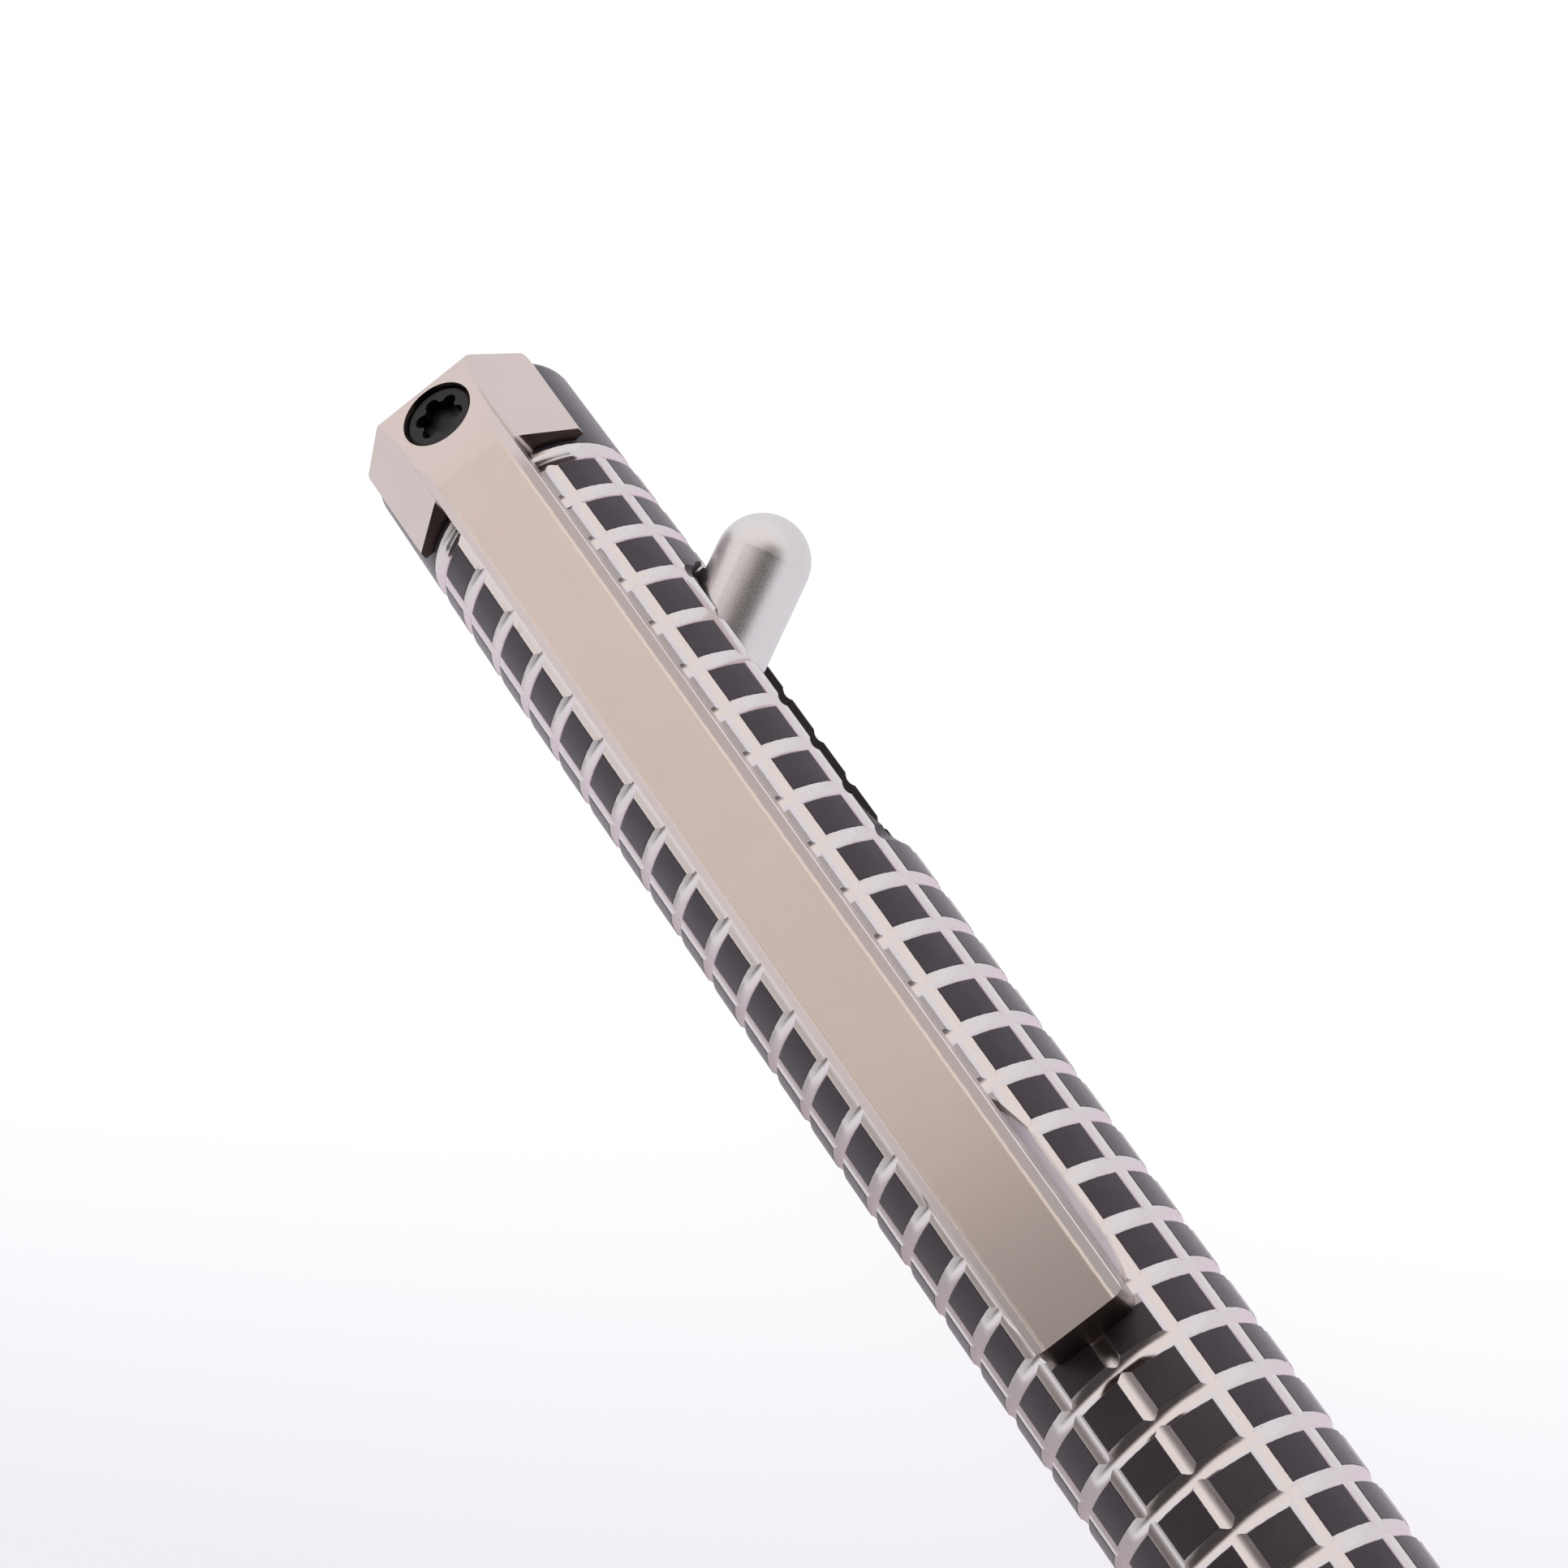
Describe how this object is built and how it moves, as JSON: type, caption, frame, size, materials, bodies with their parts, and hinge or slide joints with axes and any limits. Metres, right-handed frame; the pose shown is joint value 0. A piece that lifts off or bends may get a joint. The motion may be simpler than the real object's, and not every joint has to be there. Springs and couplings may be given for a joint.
{
  "type": "bolt action pen",
  "caption": "Bolt action ball pen with a grooved round barrel, a screwed-on milled pocket clip and a leaning bolt handle in a side slot.",
  "frame": {"origin": "centre of the barrel's flat rear end face, on the pen's axis", "axes": "+X along the pen to the writing tip, +Z out through the clip, +Y out of the side slot with the bolt handle"},
  "size_m": [0.135, 0.0159, 0.0138],
  "materials": {
    "coated_body": "matte black coat with bare satin grooves",
    "bare_clip": "warm grey blasted satin",
    "black_screw": "black oxide",
    "bare_bolt": "satin",
    "plunger_plastic": "black, low friction",
    "bright_steel": "bright",
    "black_rubber": "smooth",
    "refill_metal": "satin",
    "refill_plastic": "gloss black",
    "refill_nozzle": "pale grey",
    "refill_brass": "turned",
    "ink": "black ink"
  },
  "bodies": {
    "pen_body": {"barrel": "coated_body", "nose_section": "coated_body", "clip": "bare_clip", "clip_screw": "black_screw", "return_spring": "bright_steel", "joint_o_ring": "black_rubber"},
    "bolt": {"plunger": "plunger_plastic", "bolt_handle": "bare_bolt", "detent_ball": "bright_steel", "detent_spring": "bright_steel", "refill_tube": "refill_metal", "refill_rear_cap": "refill_plastic", "refill_nozzle": "refill_nozzle", "refill_point": "refill_brass", "writing_ball": "bright_steel", "refill_ink": "ink"}
  },
  "joints": [
    {"name": "bolt_slide", "type": "slide", "parent": "pen_body", "child": "bolt", "axis": [1, 0, 0], "range_m": [0, 0.0116], "deforming": ["return_spring"]}
  ]
}
